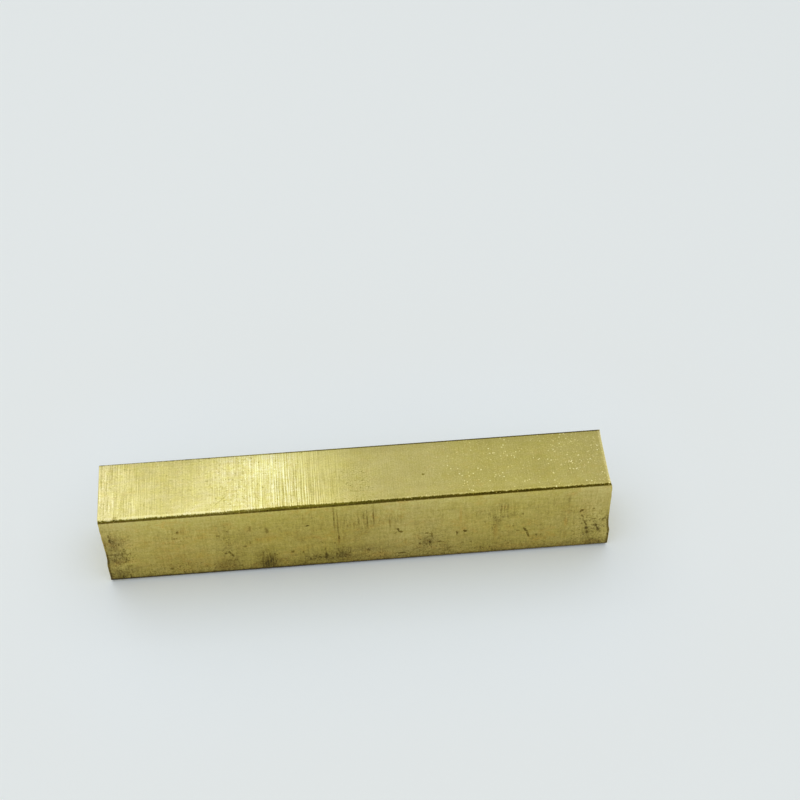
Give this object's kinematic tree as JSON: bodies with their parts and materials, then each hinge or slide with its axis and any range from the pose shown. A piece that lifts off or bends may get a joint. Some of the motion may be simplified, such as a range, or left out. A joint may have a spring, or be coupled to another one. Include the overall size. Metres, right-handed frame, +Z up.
{
  "type": "brass flat bar",
  "caption": "Short solid rectangular bar of drawn brass with rounded long edges and sawn ends, raw stock for machining.",
  "frame": {"origin": "middle of the narrow side that the bar stands on", "axes": "+X along the length, +Y across the thickness, from the front side to the back side, and +Z up the width"},
  "size_m": [0.103, 0.015, 0.02],
  "materials": {
    "brass": "as drawn, with fine ridges across every side, light tarnish, stains and a few pits; ends as sawn"
  },
  "bodies": {
    "root": {"flat_bar": "brass"}
  },
  "joints": []
}
